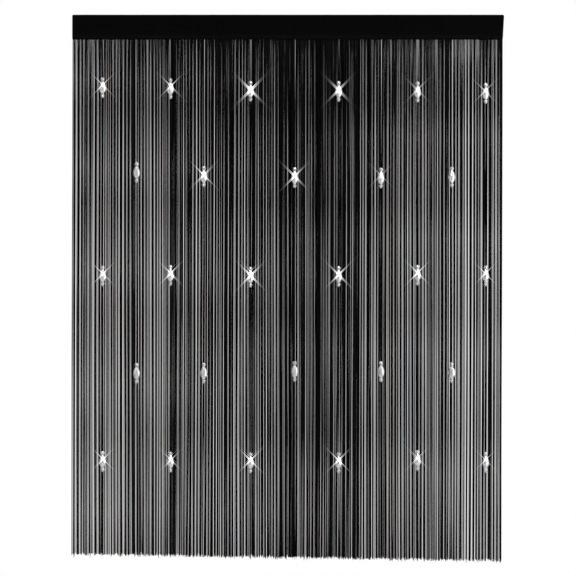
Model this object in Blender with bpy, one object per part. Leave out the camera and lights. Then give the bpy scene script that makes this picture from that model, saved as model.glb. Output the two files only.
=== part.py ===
"""A string curtain with bead drops, hanging from its heading.

Metres, +Z up. The origin is the middle of the heading's top edge. The front faces -Y,
and +X is to the right of someone who looks at the front.

The pieces are the cloth heading, the sheet of strings fused to its sewn strip, and the
bead drops threaded on plumb strings that run down among the others.
"""
import math
import random

import bmesh
import bpy

# Overall sizes
DROP = 2.0
WIDTH = 1.592
PIECE_GAP = 0.0003

# Heading
HEADING_DEPTH = 0.082
CLOTH_THICKNESS = 0.003
CORNER_RADIUS = 0.005
CORNER_STEPS = 3
RIGHT_END_LEAN = 0.005
CLOTH_EDGE_ROUND = 0.0009
CLOTH_FOLD_ANGLE = 50.0

# Strip that holds the tops of the strings
STRIP_DEPTH = 0.0097
ROOT_INSET = 0.004

# Strings, bundled into locks with open gaps between them
KNOT_RISE = 0.012
LOW_KNOT_HEIGHT = -1.484
LOCK_PITCH = 0.0106
LOCK_DEPTH = 0.0026
LOCK_WIDTH_RANGE = (0.0056, 0.0088)
LOCK_GAP_RANGE = (0.0024, 0.0046)
LOCK_WANDER = 0.0007
EDGE_INSET = 0.0008
DRIFT = 0.0028
DRIFT_LEFTWARD = 0.9
DRIFT_WAVELENGTH = 0.52
DRIFT_TURN = 0.35
HEM_SLANT = 0.0157
HEM_RAGGED = 0.0035
STRING_SEED = 41

# Plumb strings that carry the beads
BEAD_STRING_RADIUS = 0.0010
BEAD_STRING_ROOM = 0.0030

# Bead drops
BEAD_SIDES = 8
LARGE_BEAD_RADIUS = 0.0135
LARGE_BEAD_HALF = 0.0240
SHOULDER_RADIUS = 0.0113
SHOULDER_HEIGHT = 0.0115
SMALL_BEAD_RADIUS = 0.0077
SMALL_BEAD_HALF = 0.0070
NECK_RADIUS = 0.0030
BEAD_END_RADIUS = 0.0036
BEAD_CLEARANCE = 0.0012
FACET_ANGLE = 25.0

# Plumb strings with three drops each, and those between them with two
OUTER_COLUMNS = (-0.684, -0.434, -0.139, 0.186, 0.477, 0.728)
INNER_COLUMNS = (-0.559, -0.311, 0.024, 0.342, 0.603)

# Rows of drops from the top down: the strings they hang on, and the height of each drop
DROP_ROWS = (
    (OUTER_COLUMNS, (-0.269, -0.273, -0.282, -0.283, -0.285, -0.290)),
    (INNER_COLUMNS, (-0.582, -0.597, -0.601, -0.602, -0.598)),
    (OUTER_COLUMNS, (-0.963, -0.961, -0.967, -0.965, -0.960, -0.963)),
    (INNER_COLUMNS, (-1.322, -1.321, -1.315, -1.316, -1.319)),
    (OUTER_COLUMNS, (-1.647, -1.649, -1.652, -1.652, -1.643, -1.650)),
)


def drop_half():
    """Half the height of a drop: the large bead and a small bead past each of its tips."""
    return LARGE_BEAD_HALF + 2.0 * SMALL_BEAD_HALF


def strip_bottom():
    return -(HEADING_DEPTH + PIECE_GAP + STRIP_DEPTH)


def strip_ends():
    """The strip's left and right ends, under those of the heading."""
    return -0.5 * WIDTH, 0.5 * WIDTH - RIGHT_END_LEAN


def bottom_height(x):
    """Height of the curtain's lower edge, which hangs longer on the right."""
    return -(DROP + HEM_SLANT * x)


def drift(x, height):
    """Slow sideways lean of all the strings near x, none at the heading."""
    fall = (strip_bottom() - height) / DROP
    wave = math.sin(2.0 * math.pi * (x / DRIFT_WAVELENGTH + DRIFT_TURN * fall))
    return DRIFT * fall * (wave - DRIFT_LEFTWARD)


def row_top(row_index):
    """The top of the highest drop in a row."""
    return max(DROP_ROWS[row_index][1]) + drop_half()


def knot_heights():
    """Heights where the locks bend: above the first two rows of drops, and further down."""
    return row_top(0) + KNOT_RISE, row_top(1) + KNOT_RISE, LOW_KNOT_HEIGHT


def fill_run(rng, left, right):
    """Locks that fill the run between two edges: a list of centre and width."""
    count = max(1, round((right - left) / LOCK_PITCH))
    widths = [rng.uniform(*LOCK_WIDTH_RANGE) for _ in range(count)]
    gaps = [rng.uniform(*LOCK_GAP_RANGE) for _ in range(count - 1)]
    scale = (right - left) / (sum(widths) + sum(gaps))
    locks = []
    edge = left
    for index, width in enumerate(widths):
        locks.append((edge + 0.5 * width * scale, width * scale))
        edge += width * scale
        if index < count - 1:
            edge += gaps[index] * scale
    return locks


def lay_out_locks(rng):
    """Locks in every run between the plumb strings and the curtain's two side edges."""
    stops = sorted(OUTER_COLUMNS + INNER_COLUMNS)
    left_edge, right_edge = strip_ends()
    lefts = [left_edge + EDGE_INSET] + [x + BEAD_STRING_ROOM for x in stops]
    rights = [x - BEAD_STRING_ROOM for x in stops] + [right_edge - EDGE_INSET]
    locks = []
    for left, right in zip(lefts, rights):
        locks.extend(fill_run(rng, left, right))
    return locks


def set_back(x, half_width, height):
    """How far a lock lies behind the sheet where it passes round the back of the beads."""
    depth = 0.0
    reach = LARGE_BEAD_RADIUS + BEAD_CLEARANCE
    start = strip_bottom()
    for row_index in (0, 1):
        share = min(1.0, max(0.0, (start - height) / (start - row_top(row_index))))
        for column in DROP_ROWS[row_index][0]:
            beside = max(0.0, abs(x - column) - half_width)
            if beside < reach:
                behind = math.sqrt(reach * reach - beside * beside) + 0.5 * LOCK_DEPTH
                depth = max(depth, share * behind)
    return depth


def add_tube(bm, rings):
    """One closed strand through its rings, each a list of points around the section."""
    loops = [[bm.verts.new(point) for point in ring] for ring in rings]
    sides = len(loops[0])
    for upper, lower in zip(loops, loops[1:]):
        for side in range(sides):
            after = (side + 1) % sides
            bm.faces.new((upper[side], upper[after], lower[after], lower[side]))
    bm.faces.new(list(reversed(loops[0])))
    bm.faces.new(loops[-1])


def lock_ring(x, y, height, width):
    """Three corners of a lock: a flat back and a ridge that faces the front."""
    half = 0.5 * width
    back = y + 0.5 * LOCK_DEPTH
    front = y - 0.5 * LOCK_DEPTH
    return [(x - half, back, height), (x, front, height), (x + half, back, height)]


def add_lock(bm, rng, root_x, width):
    root_height = strip_bottom() + ROOT_INSET
    rings = [lock_ring(root_x, 0.0, root_height, width)]
    end = bottom_height(root_x) + rng.uniform(-HEM_RAGGED, HEM_RAGGED)
    for height in knot_heights() + (end,):
        x = root_x + drift(root_x, height) + rng.uniform(-LOCK_WANDER, LOCK_WANDER)
        y = set_back(x, 0.5 * width, height)
        rings.append(lock_ring(x, y, height, width))
    add_tube(bm, rings)


def add_bead_string(bm, x):
    """A plumb string of three sides, from the strip to the lower edge."""
    rings = []
    for height in (strip_bottom() + ROOT_INSET, bottom_height(x)):
        ring = []
        for corner in range(3):
            angle = math.radians(90.0 - 120.0 * corner)
            ring.append((x + BEAD_STRING_RADIUS * math.cos(angle),
                         BEAD_STRING_RADIUS * math.sin(angle), height))
        rings.append(ring)
    add_tube(bm, rings)


def mesh_object(name, bm, material, smooth_angle=None):
    mesh = bpy.data.meshes.new(name)
    bmesh.ops.recalc_face_normals(bm, faces=bm.faces[:])
    bm.to_mesh(mesh)
    bm.free()
    mesh.materials.append(material)
    if smooth_angle is not None:
        mesh.shade_smooth()
        mesh.set_sharp_from_angle(angle=math.radians(smooth_angle))
    made = bpy.data.objects.new(name, mesh)
    bpy.context.scene.collection.objects.link(made)
    return made


def principled(name, colour, roughness, metallic=0.0):
    material = bpy.data.materials.new(name)
    material.use_nodes = True
    shader = material.node_tree.nodes["Principled BSDF"]
    shader.inputs["Base Color"].default_value = (*colour, 1.0)
    shader.inputs["Roughness"].default_value = roughness
    shader.inputs["Metallic"].default_value = metallic
    return material


def heading_material():
    return principled("heading_cloth", (0.006, 0.006, 0.007), 0.85)


def string_material():
    return principled("string_yarn", (0.022, 0.021, 0.023), 0.5)


def bead_material():
    return principled("clear_bead", (0.72, 0.73, 0.75), 0.05)


def heading_outline():
    """The heading seen from the front, with round corners and a right end that leans in."""
    half = 0.5 * WIDTH
    low = -HEADING_DEPTH
    lean = RIGHT_END_LEAN * HEADING_DEPTH / (HEADING_DEPTH + STRIP_DEPTH)
    corners = ((half, 0.0, 0.0), (-half, 0.0, 90.0), (-half, low, 180.0), (half - lean, low, 270.0))
    outline = []
    for x, z, start in corners:
        middle = math.radians(start + 45.0)
        centre_x = x - math.copysign(CORNER_RADIUS, math.cos(middle))
        centre_z = z - math.copysign(CORNER_RADIUS, math.sin(middle))
        for step in range(CORNER_STEPS + 1):
            angle = math.radians(start + 90.0 * step / CORNER_STEPS)
            outline.append((centre_x + CORNER_RADIUS * math.cos(angle),
                            centre_z + CORNER_RADIUS * math.sin(angle)))
    return outline


def build_heading():
    """The band of folded cloth, pressed flat, with soft edges."""
    bm = bmesh.new()
    front = [bm.verts.new((x, -0.5 * CLOTH_THICKNESS, z)) for x, z in heading_outline()]
    face = bm.faces.new(front)
    extruded = bmesh.ops.extrude_face_region(bm, geom=[face])
    for item in extruded["geom"]:
        if isinstance(item, bmesh.types.BMVert):
            item.co.y += CLOTH_THICKNESS
    heading = mesh_object("heading", bm, heading_material(), CLOTH_FOLD_ANGLE)
    bevel = heading.modifiers.new("soft_edges", "BEVEL")
    bevel.width = CLOTH_EDGE_ROUND
    bevel.segments = 2
    bevel.limit_method = "ANGLE"
    bevel.angle_limit = math.radians(CLOTH_FOLD_ANGLE)
    return heading


def build_strand_guide():
    """All the strands, apart from each other, with their tops reaching into the strip."""
    rng = random.Random(STRING_SEED)
    bm = bmesh.new()
    for root_x, width in lay_out_locks(rng):
        add_lock(bm, rng, root_x, width)
    for x in OUTER_COLUMNS + INNER_COLUMNS:
        add_bead_string(bm, x)
    guide = mesh_object("strand_guide", bm, string_material())
    guide.hide_render = True
    guide.display_type = "WIRE"
    return guide


def build_strings():
    """The sewn strip under the heading, with the roots of all the strands fused into it."""
    left, right = strip_ends()
    bm = bmesh.new()
    bmesh.ops.create_cube(bm, size=1.0)
    for vert in bm.verts:
        vert.co.x = left + (vert.co.x + 0.5) * (right - left)
        vert.co.y = vert.co.y * CLOTH_THICKNESS
        vert.co.z = strip_bottom() + (vert.co.z + 0.5) * STRIP_DEPTH
    strings = mesh_object("strings", bm, string_material())
    fuse = strings.modifiers.new("fuse_roots", "BOOLEAN")
    fuse.operation = "UNION"
    fuse.object = build_strand_guide()
    return strings


def drop_profile():
    """Radius and height down the outside of a drop, then up its bore."""
    top = drop_half()
    upper = [
        (BEAD_END_RADIUS, top),
        (SMALL_BEAD_RADIUS, top - SMALL_BEAD_HALF),
        (NECK_RADIUS, LARGE_BEAD_HALF),
        (SHOULDER_RADIUS, SHOULDER_HEIGHT),
    ]
    lower = [(radius, -height) for radius, height in reversed(upper)]
    bore = (BEAD_STRING_RADIUS + PIECE_GAP) / math.cos(math.pi / BEAD_SIDES)
    return upper + [(LARGE_BEAD_RADIUS, 0.0)] + lower + [(bore, -top), (bore, top)]


def build_drop(name, x, height, material):
    """Two small round beads and a long faceted one between them, threaded on their string."""
    bm = bmesh.new()
    rings = []
    for radius, rise in drop_profile():
        ring = []
        for side in range(BEAD_SIDES):
            angle = 2.0 * math.pi * side / BEAD_SIDES
            ring.append(bm.verts.new((radius * math.cos(angle), radius * math.sin(angle), rise)))
        rings.append(ring)
    for upper, lower in zip(rings, rings[1:] + rings[:1]):
        for side in range(BEAD_SIDES):
            after = (side + 1) % BEAD_SIDES
            bm.faces.new((upper[side], upper[after], lower[after], lower[side]))
    drop = mesh_object(name, bm, material, FACET_ANGLE)
    drop.location = (x, 0.0, height)
    return drop


def build_drops():
    material = bead_material()
    for row_index, (columns, heights) in enumerate(DROP_ROWS, start=1):
        for column_index, (x, height) in enumerate(zip(columns, heights), start=1):
            build_drop(f"bead_drop_r{row_index}_c{column_index}", x, height, material)


def main():
    for existing in list(bpy.data.objects):
        bpy.data.objects.remove(existing, do_unlink=True)
    build_heading()
    build_strings()
    build_drops()


main()
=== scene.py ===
import math

import bmesh
import bpy
import numpy as np
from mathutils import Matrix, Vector


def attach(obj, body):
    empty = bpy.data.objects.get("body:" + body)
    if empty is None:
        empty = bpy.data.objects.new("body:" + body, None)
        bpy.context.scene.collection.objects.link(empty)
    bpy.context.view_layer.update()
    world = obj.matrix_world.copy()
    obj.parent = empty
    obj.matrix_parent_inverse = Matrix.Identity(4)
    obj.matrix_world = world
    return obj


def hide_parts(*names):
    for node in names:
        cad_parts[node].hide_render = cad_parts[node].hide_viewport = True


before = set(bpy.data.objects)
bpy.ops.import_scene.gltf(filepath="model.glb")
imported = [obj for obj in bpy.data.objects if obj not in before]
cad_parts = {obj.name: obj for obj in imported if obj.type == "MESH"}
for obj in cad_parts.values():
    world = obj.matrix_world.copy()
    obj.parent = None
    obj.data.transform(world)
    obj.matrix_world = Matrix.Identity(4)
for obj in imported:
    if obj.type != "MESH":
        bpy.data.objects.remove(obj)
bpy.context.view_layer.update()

# Sizes that the solids have, which the finer pieces follow
DROP = 2.0
WIDTH = 1.592
PIECE_GAP = 0.0003
HEADING_DEPTH = 0.082
STRIP_DEPTH = 0.0097
CORNER_RADIUS = 0.005
RIGHT_END_LEAN = 0.005
SHEET_DEPTH = 0.0026
DRIFT = 0.0028
DRIFT_LEFTWARD = 0.9
DRIFT_WAVELENGTH = 0.52
DRIFT_TURN = 0.35
HEM_SLANT = 0.0157
BEAD_STRING_RADIUS = 0.0010
LARGE_BEAD_HALF = 0.0240
SMALL_BEAD_HALF = 0.0070
BOW_DEPTH = 0.0160
BOW_HALF_WIDTH = 0.050
OUTER_COLUMNS = (-0.684, -0.434, -0.139, 0.186, 0.477, 0.728)
INNER_COLUMNS = (-0.559, -0.311, 0.024, 0.342, 0.603)
DROP_ROWS = (
    (OUTER_COLUMNS, (-0.269, -0.273, -0.282, -0.283, -0.285, -0.290)),
    (INNER_COLUMNS, (-0.582, -0.597, -0.601, -0.602, -0.598)),
    (OUTER_COLUMNS, (-0.963, -0.961, -0.967, -0.965, -0.960, -0.963)),
    (INNER_COLUMNS, (-1.322, -1.321, -1.315, -1.316, -1.319)),
    (OUTER_COLUMNS, (-1.647, -1.649, -1.652, -1.652, -1.643, -1.650)),
)

# Each yarn is a thin tube from inside the sewn strip to the ragged hem. Twist is radians for each ring.
YARN_SEED = 7
YARN_RADIUS = 0.00082
YARN_RADIUS_RANGE = 0.17
YARN_SIDES = 6
YARN_RINGS = 16
YARN_RINGS_CLOSER_AT_TOP = 1.25
YARN_TWIST = 0.35
YARN_TOP = -0.078
YARN_ENDS_RAGGED = 0.0038
YARN_DEPTH_SHARE = 0.6
YARN_DEPTH_RISE = 6.0
# Painted sheen: how few yarns are coloured much lighter, as if they caught the light
YARN_PAINTED_SHEEN_POWER = 2.5
YARN_PANELS = 4

# Across the curtain: cells of random width, each an open veil and then a close strand
CELL_WIDTHS = (0.0055, 0.0155)
MOST_CELLS = 600
STRAND_MOST = 0.9
STRAND_SHARE = 0.465
STRAND_SHARE_RANGE = 0.06
STRAND_SPACING = 0.00066
STRAND_LESS_AT_SIDES = 0.15
VEIL_SPACING = 0.0013
VEIL_GAPS = (0.00033, 0.00055)
VEIL_GAP_MORE_AT_SIDES = 1.55
SPACING_JITTER = 0.25
FULLEST_AT = 0.10
RIGHT_SIDE_LIGHTER = 0.5

# Down the curtain: how far a yarn wanders alone and with its veil or strand. Waves are radians for the drop.
YARN_WANDER = 0.00024
WANDER_WAVES = (5.0, 15.0)
FAST_WANDER_SHARE = 0.55
PLUMB_STEADIER = 0.7
GROUP_WANDER = 0.0005
GROUP_LEAN_SPREAD = 0.78
NEXT_GROUP_SHARE = 0.8
GROUP_LEAN_RISE = 1.3
GROUP_LEAN_POWER = 0.8
GROUP_SWAY = 0.26
GROUP_SWAY_WAVE = 7.0
ROOM_PAST_SIDES = (0.002, 0.004)

# At the strip the yarns are evenly spaced and finer, which fades out at this share of the drop
EVEN_FALL = 0.56
EVEN_NEIGHBOURS = 14
TOP_FINER = 0.33

# Bead cords: three twisted plies each, with a plumb yarn close by on both sides
CORD_YARNS = (-0.0009, 0.0009)
CORD_RINGS = 150
CORD_PLIES = 3
CORD_SIDES = 9
CORD_TWIST = 0.9
CORD_GROOVE = 0.78

# Heading cloth: a closed folded section, bowed a little along its length by two waves. A wave is its
# radians for a metre and where it starts.
CLOTH_LAYER = 0.0010
FOLD_RADIUS = 0.0019
FOLD_STEPS = 8
LAYER_ROWS = 6
CLOTH_WAVE = 0.0005
SLOW_CLOTH_WAVE = (9.0, 0.6)
FAST_CLOTH_WAVE = (23.0, 2.0)
FAST_CLOTH_SHARE = 0.6
HEADING_COLUMNS = 90
HEADING_CREASE = math.radians(50.0)
CORNER_STEPS = 5
LEAN_REACH = 0.05

# Stitches: how far a row stays off the ends, and how each stitch swells and sits in the cloth
STITCH_INSET = 0.01
STITCH_PITCH = 0.0036
STITCH_LENGTH = 0.0029
STITCH_RADIUS = 0.00024
STITCH_RINGS = 9
STITCH_SIDES = 6
STITCH_END_SHARE = 0.03
STITCH_RISE_SHARE = 0.4
STITCH_ROWS = (-0.0840, -0.0780)

# Photograph's frame
PIXEL = 0.003686
FRAME_PIXELS = 576
FRAME_CENTRE_X = -0.0007
TOP_EDGE_PIXEL = 14.7
LENS = 150.0
SENSOR = 36.0
FARTHEST_SEEN = 60.0
CAMERA_PLACE = (FRAME_CENTRE_X, -0.5 * FRAME_PIXELS * PIXEL / (0.5 * SENSOR / LENS),
                -(0.5 * FRAME_PIXELS - TOP_EDGE_PIXEL) * PIXEL)

# Cut beads: radius and height of each row of corners, and which edges get a small bevel
BEAD_SIDES = 12
BEAD_EDGE = 0.00035
BEVEL_ANGLE = math.radians(12.0)
BORE_REACH = 0.0025
LARGE_BEAD_CUT = (
    (0.0046, 0.0237), (0.0058, 0.0203), (0.0086, 0.0160), (0.0110, 0.0110), (0.0123, 0.0068),
    (0.0134, 0.0008), (0.0133, -0.0048), (0.0118, -0.0110), (0.0088, -0.0162), (0.0060, -0.0198),
    (0.0046, -0.0237),
)
UPPER_BEAD_CUT = ((0.0042, 0.0068), (0.0067, 0.0044), (0.0077, 0.0), (0.0067, -0.0044), (0.0046, -0.0068))
LOWER_BEAD_CUT = ((0.0046, 0.0068), (0.0074, 0.0036), (0.0077, 0.0018), (0.0052, -0.0036), (0.0026, -0.0068))
# The face that sparkles: its distance from the axis and height above the middle, how far it tilts up,
# and the bearings in degrees between which its facing is searched
SPARKLE_FACE = (0.0113, 0.0089)
CUT_TILT = math.atan2((0.0123 - 0.0110) * math.cos(math.pi / BEAD_SIDES), 0.0110 - 0.0068)
FACING_RANGE = (-120.0, -60.0)
FACING_HALVINGS = 40
# Degrees that each drop is turned away from mirroring the strip light to the front
GLINT_TURNS = (
    (0.0, 0.0, 0.0, 0.0, 0.0, 0.0),
    (3.5, 0.16, 0.0, 0.07, 0.16),
    (0.0, 0.0, 0.0, 0.0, 0.0, 0.0),
    (3.5, 4.5, 6.0, 9.5, 12.5),
    (0.0, 0.0, 0.0, 0.0, 0.0, 0.0),
)

# A tall narrow strip light in front, high enough for the faces above each drop's middle to mirror it
STRIP_PLACE = (0.0, -3.0, 1.03)
STRIP_SIZE = (0.025, 2.5)
STRIP_POWER = 11.0

# Large soft boxes: name, place, where each one aims, and power
SOFT_BOX_SIZE = (1.0, 2.4)
SOFT_BOXES = (
    ("left_box", (-1.75, -1.1, -0.9), (-0.4, 0.0, -0.9), 7.5),
    ("right_box", (1.75, -1.1, -0.9), (0.4, 0.0, -0.9), 12.0),
)

# How bright the room looks in the beads: all round, straight above and below, at a light wall and behind
# the curtain, with the wall's bearing from the front and how far it spreads
ROOM_LEVEL = 0.18
ROOM_ABOVE = 7.0
ABOVE_STEEPNESS = 8.0
ROOM_WALL = 2.8
WALL_BEARING = math.radians(68.0)
WALL_SPREAD = math.radians(26.0)
ROOM_BEHIND = 1.2
BEHIND_FULL_AT = 0.3
# The world as matt surfaces are lit by it, and as the camera sees it
ROOM_ON_MATT = 0.03
BACKDROP = 1.0

FLOOR_HEIGHT = -2.30
FLOOR_RADIUS = 1.85
FLOOR_SIDES = 96


def heading_bottom():
    return -(HEADING_DEPTH + PIECE_GAP + STRIP_DEPTH)


def strip_ends():
    return -0.5 * WIDTH, 0.5 * WIDTH - RIGHT_END_LEAN


def bottom_height(x):
    return -(DROP + HEM_SLANT * x)


def drop_half():
    return LARGE_BEAD_HALF + 2.0 * SMALL_BEAD_HALF


def drift(x, height):
    """Slow sideways lean of all the strings near x, none at the heading."""
    fall = (heading_bottom() - height) / DROP
    wave = np.sin(2.0 * math.pi * (x / DRIFT_WAVELENGTH + DRIFT_TURN * fall))
    return DRIFT * fall * (wave - DRIFT_LEFTWARD)


def row_top(row_index):
    return max(DROP_ROWS[row_index][1]) + drop_half()


def set_back(x, height):
    """How far a yarn lies behind the sheet: the sheet bows gently round the back of the beads."""
    depth = np.zeros_like(x)
    start = heading_bottom()
    for row_index in (0, 1):
        share = np.clip((start - height) / (start - row_top(row_index)), 0.0, 1.0)
        for column in DROP_ROWS[row_index][0]:
            beside = np.clip(np.abs(x - column) / BOW_HALF_WIDTH, 0.0, 1.0)
            depth = np.maximum(depth, share * BOW_DEPTH * 0.5 * (1.0 + np.cos(math.pi * beside)))
    return depth


def mesh_object(name, points, faces, material):
    """A smooth object from arrays: points as rows of x, y, z, and blocks of faces with equal corners."""
    mesh = bpy.data.meshes.new(name)
    mesh.vertices.add(len(points))
    mesh.vertices.foreach_set("co", np.asarray(points, dtype=np.float32).ravel())
    corners = sum(block.size for block in faces)
    mesh.loops.add(corners)
    mesh.loops.foreach_set("vertex_index", np.concatenate([block.ravel() for block in faces]))
    sizes = np.concatenate([np.full(len(block), block.shape[1]) for block in faces])
    starts = np.concatenate([[0], np.cumsum(sizes)[:-1]])
    mesh.polygons.add(len(sizes))
    mesh.polygons.foreach_set("loop_start", starts)
    mesh.polygons.foreach_set("use_smooth", np.full(len(sizes), True))
    mesh.update(calc_edges=True)
    mesh.validate()
    mesh.materials.append(material)
    made = bpy.data.objects.new(name, mesh)
    bpy.context.scene.collection.objects.link(made)
    return made


def bmesh_object(name, bm, material):
    bmesh.ops.recalc_face_normals(bm, faces=bm.faces[:])
    mesh = bpy.data.meshes.new(name)
    bm.to_mesh(mesh)
    bm.free()
    mesh.materials.append(material)
    made = bpy.data.objects.new(name, mesh)
    bpy.context.scene.collection.objects.link(made)
    return made


def tube_faces(tubes, rings, sides):
    """Quads and end caps that face out where the rings follow each other to +X, and in where they go down."""
    first = np.arange(tubes * rings).reshape(tubes, rings) * sides
    around = np.arange(sides)
    near = first[:, :-1, None] + around
    beside = first[:, :-1, None] + (around + 1) % sides
    quads = np.stack([near, beside, beside + sides, near + sides], axis=-1).reshape(-1, 4)
    caps = np.concatenate([first[:, 0, None] + around[::-1], first[:, -1, None] + around])
    return [quads, caps]


def tube_arrays(centres, radii, sides, turn):
    """Tubes with level rings: centres is tubes by rings by 3, radii is tubes by rings.

    turn is how far each ring is turned from the one above, so the sides wind round.
    """
    tubes, rings, _ = centres.shape
    angle = (2.0 * math.pi * np.arange(sides) / sides)[None, None, :]
    angle = angle + turn * np.arange(rings)[None, :, None]
    points = np.repeat(centres[:, :, None, :], sides, axis=2)
    points[..., 0] += radii[:, :, None] * np.cos(angle)
    points[..., 1] += radii[:, :, None] * np.sin(angle)
    faces_out = [block[:, ::-1] for block in tube_faces(tubes, rings, sides)]
    return points.reshape(-1, 3), faces_out


def away_from_fullest(x):
    """How far x is from where the curtain hangs fullest: 0 there, about 1 at the sides."""
    away = abs(x - FULLEST_AT) / (0.5 * WIDTH)
    return away * (1.0 + RIGHT_SIDE_LIGHTER * (x > FULLEST_AT))


def cell_edges(rng, left, right):
    """Where the cells start and end: random widths that fill the curtain exactly."""
    widths = rng.uniform(*CELL_WIDTHS, MOST_CELLS)
    edges = np.concatenate([[0.0], np.cumsum(widths)])
    count = int(np.searchsorted(edges, right - left))
    return left + edges[:count + 1] * (right - left) / edges[count]


def yarn_roots(rng):
    """Each yarn's place at the strip, and the number of the veil or strand that it hangs with."""
    left, right = strip_ends()
    left += YARN_RADIUS
    right -= YARN_RADIUS
    edges = cell_edges(rng, left, right)
    roots = []
    groups = []
    for start, end in zip(edges[:-1], edges[1:]):
        away = away_from_fullest(0.5 * (start + end))
        share = STRAND_SHARE + STRAND_SHARE_RANGE * rng.uniform(-1.0, 1.0)
        strand = (end - start) * min(STRAND_MOST, share * (1.0 - STRAND_LESS_AT_SIDES * away))
        veil = end - start - strand
        spread = VEIL_SPACING + rng.uniform(*VEIL_GAPS) * (1.0 + VEIL_GAP_MORE_AT_SIDES * away)
        for run_start, width, spacing in ((start, veil, spread), (start + veil, strand, STRAND_SPACING)):
            count = max(1, int(round(width / spacing)))
            spots = np.arange(count) + 0.5 + rng.uniform(-SPACING_JITTER, SPACING_JITTER, count)
            roots.append(run_start + spots * width / count)
            groups.append(np.full(count, len(groups)))
    roots = np.clip(np.concatenate(roots), left, right)
    return roots, np.concatenate(groups)


def near_top(fall):
    """1 at the strip, fading to 0 where the evening ends."""
    return np.clip(1.0 - fall / EVEN_FALL, 0.0, 1.0) ** 2


def evened(roots):
    """Each root moved to the middle of its neighbours on both sides."""
    order = np.argsort(roots)
    row = roots[order]
    reach = EVEN_NEIGHBOURS
    before = 2.0 * row[0] - row[reach:0:-1]
    after = 2.0 * row[-1] - row[-2:-reach - 2:-1]
    window = np.ones(2 * reach + 1) / (2 * reach + 1)
    even = np.empty(len(roots))
    even[order] = np.convolve(np.concatenate([before, row, after]), window, "valid")
    return even


def waver(rng, fall, count):
    """Gentle sideways waves, one for each of count yarns, at the heights that fall gives."""
    slow, fast = WANDER_WAVES
    phase = rng.uniform(0.0, 2.0 * math.pi, (2, count, 1))
    return np.sin(slow * fall + phase[0]) + FAST_WANDER_SHARE * np.sin(fast * fall + phase[1])


def yarn_centres():
    """Centre lines of all the yarns: an array of yarns by rings by 3, and for each yarn its painted sheen,
    how much lighter it is coloured.
    """
    rng = np.random.default_rng(YARN_SEED)
    roots, groups = yarn_roots(rng)
    columns = np.array(OUTER_COLUMNS + INNER_COLUMNS)
    beside = (columns[:, None] + np.array(CORD_YARNS)).ravel()
    plumb = np.concatenate([np.zeros(len(roots)), np.ones(len(beside))])[:, None]
    roots = np.concatenate([roots, beside])
    groups = np.concatenate([groups, np.full(len(beside), groups.max() + 1)])
    count = len(roots)
    ends = bottom_height(roots) + rng.normal(0.0, YARN_ENDS_RAGGED, count)
    step = np.linspace(0.0, 1.0, YARN_RINGS) ** YARN_RINGS_CLOSER_AT_TOP
    z = YARN_TOP + (ends[:, None] - YARN_TOP) * step
    fall = (YARN_TOP - z) / DROP
    noise = rng.normal(0.0, GROUP_LEAN_SPREAD, groups.max() + 2)
    offsets = (noise[:-1] + NEXT_GROUP_SHARE * noise[1:])[groups][:, None]
    phases = rng.uniform(0.0, 2.0 * math.pi, groups.max() + 1)[groups][:, None]
    group_lean = offsets * np.minimum(1.0, GROUP_LEAN_RISE * fall) ** GROUP_LEAN_POWER
    group_lean += GROUP_SWAY * np.sin(GROUP_SWAY_WAVE * fall + phases) * np.sqrt(fall)
    lean = GROUP_WANDER * group_lean + drift(roots[:, None], z)
    lean += (evened(roots) - roots)[:, None] * near_top(fall)
    x = roots[:, None] + lean * (1.0 - plumb)
    x += YARN_WANDER * waver(rng, fall, count) * np.sqrt(fall) * (1.0 - PLUMB_STEADIER * plumb)
    left, right = strip_ends()
    x = np.clip(x, left - ROOM_PAST_SIDES[0], right + ROOM_PAST_SIDES[1])
    y = rng.uniform(-YARN_DEPTH_SHARE, YARN_DEPTH_SHARE, (count, 1)) * SHEET_DEPTH
    y = y * np.minimum(1.0, YARN_DEPTH_RISE * fall) + set_back(x, z)
    # Painted sheen: a random few yarns are coloured lighter as if they caught the light; the yarns beside the
    # cords get none
    painted_sheens = rng.uniform(0.0, 1.0, count) ** YARN_PAINTED_SHEEN_POWER * (1.0 - plumb[:, 0])
    return np.stack([x, y, z], axis=-1), painted_sheens


def hexagon_share():
    """How wide a thin hexagonal tube looks, on average, beside a round one of the same radius."""
    return math.sin(math.pi / YARN_SIDES) * YARN_SIDES / math.pi


def yarn_radii(rng, count):
    return YARN_RADIUS * (1.0 + YARN_RADIUS_RANGE * rng.uniform(-1.0, 1.0, count))


def add_painted_sheen(piece, painted_sheens):
    """Store each point's painted sheen, how much lighter its yarn is coloured as if it caught the light, for
    the yarn material to read.
    """
    painted_sheen = piece.data.attributes.new("painted_sheen", "FLOAT", "POINT")
    painted_sheen.data.foreach_set("value", painted_sheens.astype(np.float32))


def build_yarns():
    material = yarn_material()
    centres, painted_sheens = yarn_centres()
    sizes = yarn_radii(np.random.default_rng(YARN_SEED + 1), len(painted_sheens))
    order = np.argsort(centres[:, 0, 0])
    pieces = []
    for index, chosen in enumerate(np.array_split(order, YARN_PANELS), start=1):
        fall = (YARN_TOP - centres[chosen][..., 2]) / DROP
        radii = sizes[chosen][:, None] / hexagon_share() * (1.0 - TOP_FINER * near_top(fall))
        points, faces = tube_arrays(centres[chosen], radii, YARN_SIDES, YARN_TWIST)
        piece = mesh_object(f"yarns_panel_{index}", points, faces, material)
        # Each yarn's painted sheen goes on all of its points
        add_painted_sheen(piece, np.repeat(painted_sheens[chosen], YARN_RINGS * YARN_SIDES))
        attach(piece, "root")
        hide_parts("strings")
        pieces.append(piece)
    return pieces


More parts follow.
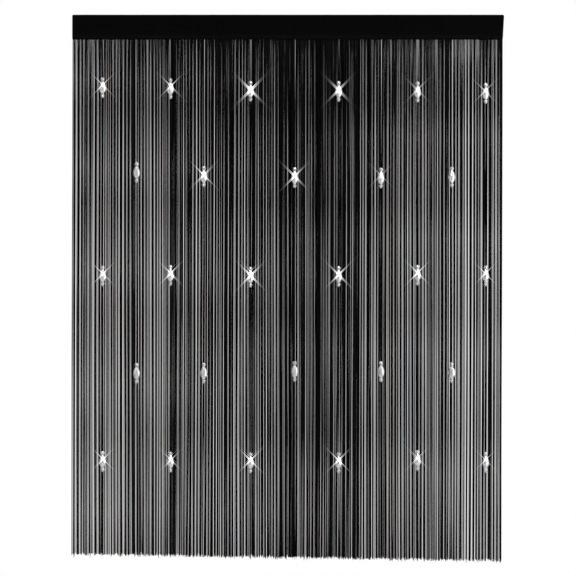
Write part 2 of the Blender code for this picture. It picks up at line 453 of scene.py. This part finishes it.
def build_bead_strings():
    """The plumb cords that carry the drops, each of three twisted plies."""
    step = np.linspace(0.0, 1.0, CORD_RINGS)
    centres = []
    for x in OUTER_COLUMNS + INNER_COLUMNS:
        z = YARN_TOP + (bottom_height(x) - YARN_TOP) * step
        centres.append(np.stack([np.full(CORD_RINGS, x), np.zeros(CORD_RINGS), z], axis=1))
    centres = np.array(centres)
    radii = np.full(centres.shape[:2], BEAD_STRING_RADIUS)
    points, faces = tube_arrays(centres, radii, CORD_SIDES, CORD_TWIST)
    middles = np.repeat(centres.reshape(-1, 3), CORD_SIDES, axis=0)
    crest = np.arange(CORD_SIDES) % (CORD_SIDES // CORD_PLIES) == 0
    lobe = np.tile(np.where(crest, 1.0, CORD_GROOVE), len(centres) * CORD_RINGS)[:, None]
    points = middles + (points - middles) * lobe
    piece = mesh_object("bead_cords", points, faces, yarn_material())
    # The cords get no painted sheen
    add_painted_sheen(piece, np.zeros(len(points)))
    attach(piece, "root")
    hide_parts("strings")
    return piece


def heading_section(top, bottom):
    """The folded cloth's closed section: front layer, fold at the top, back layer, and inside."""
    outer = FOLD_RADIUS
    inner = FOLD_RADIUS - CLOTH_LAYER
    centre = top - outer
    up = np.linspace(bottom, centre, LAYER_ROWS)
    down = np.linspace(centre, bottom, LAYER_ROWS)
    section = [(-outer, z) for z in up]
    for step in range(1, FOLD_STEPS):
        angle = math.pi * (1.0 - step / FOLD_STEPS)
        section.append((outer * math.cos(angle), centre + outer * math.sin(angle)))
    section += [(outer, z) for z in down]
    section += [(inner, z) for z in up]
    for step in range(1, FOLD_STEPS):
        angle = math.pi * step / FOLD_STEPS
        section.append((inner * math.cos(angle), centre + inner * math.sin(angle)))
    section += [(-inner, z) for z in down]
    return section


def cloth_wave(x):
    """How far the flat heading bows towards the front or back along its length."""
    slow = np.sin(SLOW_CLOTH_WAVE[0] * x + SLOW_CLOTH_WAVE[1])
    fast = np.sin(FAST_CLOTH_WAVE[0] * x + FAST_CLOTH_WAVE[1])
    return CLOTH_WAVE * (slow + FAST_CLOTH_SHARE * fast)


def corner_cut(from_end):
    """How far the rounded corners take the heading's edges in, this far from its end."""
    if from_end >= CORNER_RADIUS:
        return 0.0
    return CORNER_RADIUS - math.sqrt(max(0.0, CORNER_RADIUS ** 2 - (CORNER_RADIUS - from_end) ** 2))


def build_heading():
    """The folded cloth, closed at both ends, its right end leaning in towards the strip."""
    half = 0.5 * WIDTH
    turns = [0.5 * math.pi * step / CORNER_STEPS for step in range(CORNER_STEPS + 1)]
    corner_steps = [CORNER_RADIUS * (1.0 - math.cos(turn)) for turn in turns]
    inner = np.linspace(-half + CORNER_RADIUS, half - CORNER_RADIUS, HEADING_COLUMNS)[1:-1]
    columns = [-half + step for step in corner_steps] + list(inner)
    columns += [half - step for step in reversed(corner_steps)]
    bm = bmesh.new()
    rows = []
    for x in columns:
        cut = corner_cut(min(x + half, half - x))
        near_right_end = max(0.0, (x - half + LEAN_REACH) / LEAN_REACH)
        row = []
        for y, z in heading_section(-cut, heading_bottom() + cut):
            lean = RIGHT_END_LEAN * (z / heading_bottom())
            row.append(bm.verts.new((x - lean * near_right_end, y + cloth_wave(x), z)))
        rows.append(row)
    count = len(rows[0])
    for left, right in zip(rows, rows[1:]):
        for index in range(count):
            after = (index + 1) % count
            bm.faces.new((left[index], right[index], right[after], left[after]))
    side = count // 2
    for row in (rows[0], rows[-1]):
        for index in range(side - 1):
            mirror = count - 1 - index
            bm.faces.new((row[index], row[index + 1], row[mirror - 1], row[mirror]))
    piece = bmesh_object("heading_cloth", bm, cloth_material())
    piece.data.shade_smooth()
    piece.data.set_sharp_from_angle(angle=HEADING_CREASE)
    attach(piece, "root")
    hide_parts("heading")
    return piece


def build_stitches():
    """Two rows of small stitches along the heading's lower edge, on the front and the back."""
    half = 0.5 * WIDTH
    count = int((WIDTH - 2.0 * STITCH_INSET) / STITCH_PITCH)
    along = (np.arange(STITCH_RINGS) / (STITCH_RINGS - 1.0) - 0.5) * STITCH_LENGTH
    bulge = np.sqrt(np.clip(1.0 - (2.0 * along / STITCH_LENGTH) ** 2, STITCH_END_SHARE, None))
    angle = 2.0 * math.pi * np.arange(STITCH_SIDES) / STITCH_SIDES
    points = []
    for z in STITCH_ROWS:
        for face in (-1.0, 1.0):
            for index in range(count):
                x = -half + STITCH_INSET + (index + 0.5) * STITCH_PITCH
                y = cloth_wave(x) + face * (FOLD_RADIUS + STITCH_RISE_SHARE * STITCH_RADIUS)
                ring_x = np.repeat(x + along[:, None], STITCH_SIDES, axis=1)
                ring_y = y + STITCH_RADIUS * bulge[:, None] * np.cos(angle)
                ring_z = z + STITCH_RADIUS * bulge[:, None] * np.sin(angle)
                points.append(np.stack([ring_x, ring_y, ring_z], axis=-1))
    points = np.array(points)
    faces = tube_faces(len(points), STITCH_RINGS, STITCH_SIDES)
    piece = mesh_object("heading_stitches", points.reshape(-1, 3), faces, thread_material())
    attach(piece, "root")
    return piece


def add_cut_bead(bm, profile, turn):
    """A bead with flat cut faces all round and a bore: profile is radius and height from the top."""
    bore = BEAD_STRING_RADIUS + PIECE_GAP
    outline = [(bore, profile[0][1])] + list(profile) + [(bore, profile[-1][1])]
    rings = []
    for radius, height in outline:
        ring = []
        for side in range(BEAD_SIDES):
            angle = turn + 2.0 * math.pi * (side + 0.5) / BEAD_SIDES
            ring.append(bm.verts.new((radius * math.cos(angle), radius * math.sin(angle), height)))
        rings.append(ring)
    for upper, lower in zip(rings, rings[1:] + rings[:1]):
        for side in range(BEAD_SIDES):
            after = (side + 1) % BEAD_SIDES
            bm.faces.new((upper[side], lower[side], lower[after], upper[after]))


def crystal_mesh():
    """One drop: two small cut beads and the long cut bead between them, a face towards +X."""
    bm = bmesh.new()
    small_place = LARGE_BEAD_HALF + SMALL_BEAD_HALF
    upper = [(radius, small_place + height) for radius, height in UPPER_BEAD_CUT]
    lower = [(radius, height - small_place) for radius, height in LOWER_BEAD_CUT]
    half_turn = math.pi / BEAD_SIDES
    for profile, turn in ((upper, half_turn), (LARGE_BEAD_CUT, 0.0), (lower, half_turn)):
        add_cut_bead(bm, profile, turn)
    bmesh.ops.recalc_face_normals(bm, faces=bm.faces[:])
    sharp = [edge for edge in bm.edges if edge.calc_face_angle(0.0) > BEVEL_ANGLE
             and max(abs(vert.co.x) + abs(vert.co.y) for vert in edge.verts) > BORE_REACH]
    bmesh.ops.bevel(bm, geom=sharp, offset=BEAD_EDGE, segments=1, affect="EDGES", clamp_overlap=True)
    mesh = bpy.data.meshes.new("crystal_drop")
    bm.to_mesh(mesh)
    bm.free()
    mesh.materials.append(crystal_material())
    return mesh


def facing(place):
    """The bearing at which the sparkling face mirrors the strip light's middle line to the camera."""
    low, high = (math.radians(bearing) for bearing in FACING_RANGE)
    for _ in range(FACING_HALVINGS):
        bearing = 0.5 * (low + high)
        level = Vector((math.cos(bearing), math.sin(bearing), 0.0))
        face = place + SPARKLE_FACE[0] * level + Vector((0.0, 0.0, SPARKLE_FACE[1]))
        normal = math.cos(CUT_TILT) * level + Vector((0.0, 0.0, math.sin(CUT_TILT)))
        to_camera = (Vector(CAMERA_PLACE) - face).normalized()
        mirrored = 2.0 * normal.dot(to_camera) * normal - to_camera
        reach = (STRIP_PLACE[1] - face.y) / mirrored.y
        if face.x + reach * mirrored.x > STRIP_PLACE[0]:
            high = bearing
        else:
            low = bearing
    return bearing


def build_crystals():
    """The drops, all of one mesh, each turned to sparkle or a little away from it."""
    mesh = crystal_mesh()
    for row_index, (columns, heights) in enumerate(DROP_ROWS, start=1):
        for column_index, (x, height) in enumerate(zip(columns, heights), start=1):
            piece = bpy.data.objects.new(f"crystals_r{row_index}_c{column_index}", mesh)
            bpy.context.scene.collection.objects.link(piece)
            place = Vector((x, 0.0, height))
            off = GLINT_TURNS[row_index - 1][column_index - 1]
            piece.location = place
            piece.rotation_euler = (0.0, 0.0, facing(place) + math.radians(off))
            bpy.context.view_layer.update()
            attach(piece, "root")
            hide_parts(f"bead_drop_r{row_index}_c{column_index}")


def new_material(name):
    material = bpy.data.materials.new(name)
    material.use_nodes = True
    return material, material.node_tree.nodes, material.node_tree.links


def set_values(node, values):
    """Set constants on a node's own sockets."""
    for socket, value in values.items():
        node.inputs[socket].default_value = value


def add_ramp(nodes, links, source, dark, light):
    """The colour between dark and light that a source output picks."""
    ramp = nodes.new("ShaderNodeValToRGB")
    ramp.color_ramp.elements[0].color = (*dark, 1.0)
    ramp.color_ramp.elements[1].color = (*light, 1.0)
    links.new(source, ramp.inputs["Fac"])
    return ramp.outputs["Color"]


def add_bump(nodes, links, source, shader, strength, distance):
    bump = nodes.new("ShaderNodeBump")
    set_values(bump, {"Strength": strength, "Distance": distance})
    links.new(source, bump.inputs["Height"])
    links.new(bump.outputs["Normal"], shader.inputs["Normal"])


def add_noise(nodes, links, source, scale):
    noise = nodes.new("ShaderNodeTexNoise")
    set_values(noise, {"Scale": scale})
    links.new(source, noise.inputs["Vector"])
    return noise


def yarn_material():
    """Black yarn with a soft sheen, plus painted sheen: a random few strands are coloured lighter, as if they
    caught the light.
    """
    found = bpy.data.materials.get("string_yarn_fine")
    if found:
        return found
    material, nodes, links = new_material("string_yarn_fine")
    shader = nodes["Principled BSDF"]
    painted_sheen = nodes.new("ShaderNodeAttribute")
    painted_sheen.attribute_name = "painted_sheen"
    place = nodes.new("ShaderNodeTexCoord")
    stretch = nodes.new("ShaderNodeMapping")
    stretch.inputs["Scale"].default_value = (900.0, 900.0, 160.0)
    links.new(place.outputs["Object"], stretch.inputs["Vector"])
    grain = add_noise(nodes, links, stretch.outputs["Vector"], 1.0)
    grain.inputs["Detail"].default_value = 2.0
    # Painted sheen: yarns with more of it get a lighter base colour, as if they caught the light
    base = add_ramp(nodes, links, painted_sheen.outputs["Fac"], (0.0006, 0.0006, 0.0007), (0.0200, 0.0195, 0.0203))
    blend = nodes.new("ShaderNodeMix")
    blend.data_type = "RGBA"
    blend.blend_type = "MULTIPLY"
    blend.inputs["Factor"].default_value = 0.4
    links.new(base, blend.inputs["A"])
    links.new(grain.outputs["Fac"], blend.inputs["B"])
    links.new(blend.outputs["Result"], shader.inputs["Base Color"])
    set_values(shader, {"Roughness": 0.42, "Specular IOR Level": 0.012,
                        "Sheen Weight": 0.01, "Sheen Roughness": 0.4})
    add_bump(nodes, links, grain.outputs["Fac"], shader, 0.4, 0.0002)
    return material


def cloth_material():
    """Matt black woven band: fine ribs one way, finer ones across."""
    material, nodes, links = new_material("heading_weave")
    shader = nodes["Principled BSDF"]
    place = nodes.new("ShaderNodeTexCoord")
    weave = nodes.new("ShaderNodeMath")
    weave.operation = "MULTIPLY"
    for index, (direction, scale) in enumerate((("X", 520.0), ("Z", 420.0))):
        ribs = nodes.new("ShaderNodeTexWave")
        ribs.bands_direction = direction
        set_values(ribs, {"Scale": scale, "Distortion": 0.6})
        links.new(place.outputs["Object"], ribs.inputs["Vector"])
        links.new(ribs.outputs["Fac"], weave.inputs[index])
    base = add_ramp(nodes, links, weave.outputs["Value"], (0.0012, 0.0012, 0.0014), (0.0040, 0.0040, 0.0045))
    links.new(base, shader.inputs["Base Color"])
    set_values(shader, {"Roughness": 0.95, "Specular IOR Level": 0.05})
    add_bump(nodes, links, weave.outputs["Value"], shader, 0.5, 0.0003)
    return material


def cloudy_material(name, scale, dark, light, values):
    """A material whose colour drifts softly between dark and light."""
    material, nodes, links = new_material(name)
    shader = nodes["Principled BSDF"]
    place = nodes.new("ShaderNodeTexCoord")
    cloud = add_noise(nodes, links, place.outputs["Object"], scale)
    base = add_ramp(nodes, links, cloud.outputs["Fac"], dark, light)
    links.new(base, shader.inputs["Base Color"])
    set_values(shader, values)
    return material


def thread_material():
    return cloudy_material("stitch_thread", 1500.0, (0.002, 0.002, 0.002), (0.012, 0.012, 0.013),
                           {"Roughness": 0.7})


def crystal_material():
    """Clear cut acrylic with a silvery cast."""
    return cloudy_material("clear_crystal", 90.0, (0.80, 0.81, 0.83), (0.94, 0.95, 0.96),
                           {"Roughness": 0.05, "IOR": 1.9, "Transmission Weight": 0.55,
                            "Coat Weight": 1.0, "Coat Roughness": 0.04, "Coat IOR": 2.6})


def floor_material():
    return cloudy_material("pale_floor", 3.0, (0.10, 0.10, 0.10), (0.13, 0.13, 0.13),
                           {"Roughness": 0.9, "Emission Color": (1.0, 1.0, 1.0, 1.0),
                            "Emission Strength": 0.80})


def build_floor():
    bm = bmesh.new()
    bmesh.ops.create_circle(bm, cap_ends=True, segments=FLOOR_SIDES, radius=FLOOR_RADIUS)
    floor = bmesh_object("floor", bm, floor_material())
    floor.location = (0.0, 0.0, FLOOR_HEIGHT)


def build_camera():
    data = bpy.data.cameras.new("camera")
    data.lens = LENS
    data.sensor_width = SENSOR
    data.clip_end = FARTHEST_SEEN
    camera = bpy.data.objects.new("camera", data)
    camera.location = CAMERA_PLACE
    camera.rotation_euler = (math.radians(90.0), 0.0, 0.0)
    bpy.context.scene.collection.objects.link(camera)
    bpy.context.scene.camera = camera


def add_area_light(name, place, aim, size, power):
    data = bpy.data.lights.new(name, "AREA")
    data.shape = "RECTANGLE"
    data.size, data.size_y = size
    data.energy = power
    lamp = bpy.data.objects.new(name, data)
    lamp.location = place
    lamp.rotation_euler = (Vector(aim) - Vector(place)).to_track_quat("-Z", "Y").to_euler()
    bpy.context.scene.collection.objects.link(lamp)


def build_lights():
    """A large soft box at each side, the right one stronger, and the strip light that the drops mirror."""
    for name, place, aim, power in SOFT_BOXES:
        add_area_light(name, place, aim, SOFT_BOX_SIZE, power)
    aim = (STRIP_PLACE[0], 0.0, STRIP_PLACE[2])
    add_area_light("glint_strip", STRIP_PLACE, aim, STRIP_SIZE, STRIP_POWER)


def room_brightness(nodes, links):
    """What the beads mirror: a dim room, bright above, below and behind, with a light wall to the right."""
    place = nodes.new("ShaderNodeTexCoord")
    axes = nodes.new("ShaderNodeSeparateXYZ")
    links.new(place.outputs["Generated"], axes.inputs["Vector"])
    steep = nodes.new("ShaderNodeMath")
    steep.operation = "POWER"
    links.new(axes.outputs["Z"], steep.inputs[0])
    steep.inputs[1].default_value = ABOVE_STEEPNESS
    above = nodes.new("ShaderNodeMath")
    above.operation = "MULTIPLY_ADD"
    links.new(steep.outputs["Value"], above.inputs[0])
    above.inputs[1].default_value = ROOM_ABOVE
    above.inputs[2].default_value = ROOM_LEVEL
    flat = nodes.new("ShaderNodeVectorMath")
    flat.operation = "MULTIPLY"
    links.new(place.outputs["Generated"], flat.inputs[0])
    flat.inputs[1].default_value = (1.0, 1.0, 0.0)
    bearing = nodes.new("ShaderNodeVectorMath")
    bearing.operation = "NORMALIZE"
    links.new(flat.outputs["Vector"], bearing.inputs[0])
    towards = nodes.new("ShaderNodeVectorMath")
    towards.operation = "DOT_PRODUCT"
    links.new(bearing.outputs["Vector"], towards.inputs[0])
    towards.inputs[1].default_value = (math.sin(WALL_BEARING), -math.cos(WALL_BEARING), 0.0)
    wall = nodes.new("ShaderNodeMapRange")
    links.new(towards.outputs["Value"], wall.inputs["Value"])
    wall.inputs["From Min"].default_value = math.cos(WALL_SPREAD)
    wall.inputs["From Max"].default_value = math.cos(0.5 * WALL_SPREAD)
    wall.inputs["To Max"].default_value = ROOM_WALL
    behind = nodes.new("ShaderNodeMapRange")
    links.new(axes.outputs["Y"], behind.inputs["Value"])
    behind.inputs["From Max"].default_value = BEHIND_FULL_AT
    behind.inputs["To Max"].default_value = ROOM_BEHIND
    front = nodes.new("ShaderNodeMath")
    front.operation = "ADD"
    links.new(above.outputs["Value"], front.inputs[0])
    links.new(wall.outputs["Result"], front.inputs[1])
    level = nodes.new("ShaderNodeMath")
    level.operation = "ADD"
    links.new(front.outputs["Value"], level.inputs[0])
    links.new(behind.outputs["Result"], level.inputs[1])
    return level


def build_world():
    """White to the camera, faint to the matt yarns and cloth, and a room to whatever mirrors it."""
    world = bpy.data.worlds.new("studio")
    bpy.context.scene.world = world
    world.use_nodes = True
    nodes, links = world.node_tree.nodes, world.node_tree.links
    around = nodes["Background"]
    around.inputs["Color"].default_value = (1.0, 1.0, 1.0, 1.0)
    level = room_brightness(nodes, links)
    links.new(level.outputs["Value"], around.inputs["Strength"])
    behind = nodes.new("ShaderNodeBackground")
    behind.inputs["Color"].default_value = (1.0, 1.0, 1.0, 1.0)
    behind.inputs["Strength"].default_value = BACKDROP
    soft = nodes.new("ShaderNodeBackground")
    soft.inputs["Color"].default_value = (1.0, 1.0, 1.0, 1.0)
    soft.inputs["Strength"].default_value = ROOM_ON_MATT
    rays = nodes.new("ShaderNodeLightPath")
    inner = nodes.new("ShaderNodeMixShader")
    outer = nodes.new("ShaderNodeMixShader")
    links.new(rays.outputs["Is Diffuse Ray"], inner.inputs["Fac"])
    links.new(around.outputs["Background"], inner.inputs[1])
    links.new(soft.outputs["Background"], inner.inputs[2])
    links.new(rays.outputs["Is Camera Ray"], outer.inputs["Fac"])
    links.new(inner.outputs["Shader"], outer.inputs[1])
    links.new(behind.outputs["Background"], outer.inputs[2])
    links.new(outer.outputs["Shader"], nodes["World Output"].inputs["Surface"])


def build_glare():
    """Small four-pointed stars where a cut face mirrors a lamp, as a camera makes them."""
    scene = bpy.context.scene
    scene.use_nodes = True
    nodes, links = scene.node_tree.nodes, scene.node_tree.links
    nodes.clear()
    layers = nodes.new("CompositorNodeRLayers")
    glare = nodes.new("CompositorNodeGlare")
    glare.glare_type = "SIMPLE_STAR"
    glare.quality = "HIGH"
    set_values(glare, {"Diagonal Star": True, "Threshold": 2.0, "Fade": 0.93, "Iterations": 3})
    out = nodes.new("CompositorNodeComposite")
    links.new(layers.outputs["Image"], glare.inputs["Image"])
    links.new(glare.outputs["Image"], out.inputs["Image"])


def main():
    build_camera()
    build_lights()
    build_world()
    build_floor()
    yarns = build_yarns()
    cords = build_bead_strings()
    heading = build_heading()
    stitches = build_stitches()
    build_crystals()
    build_glare()
    bpy.context.scene.view_settings.view_transform = "Standard"
    bpy.context.view_layer.update()


main()
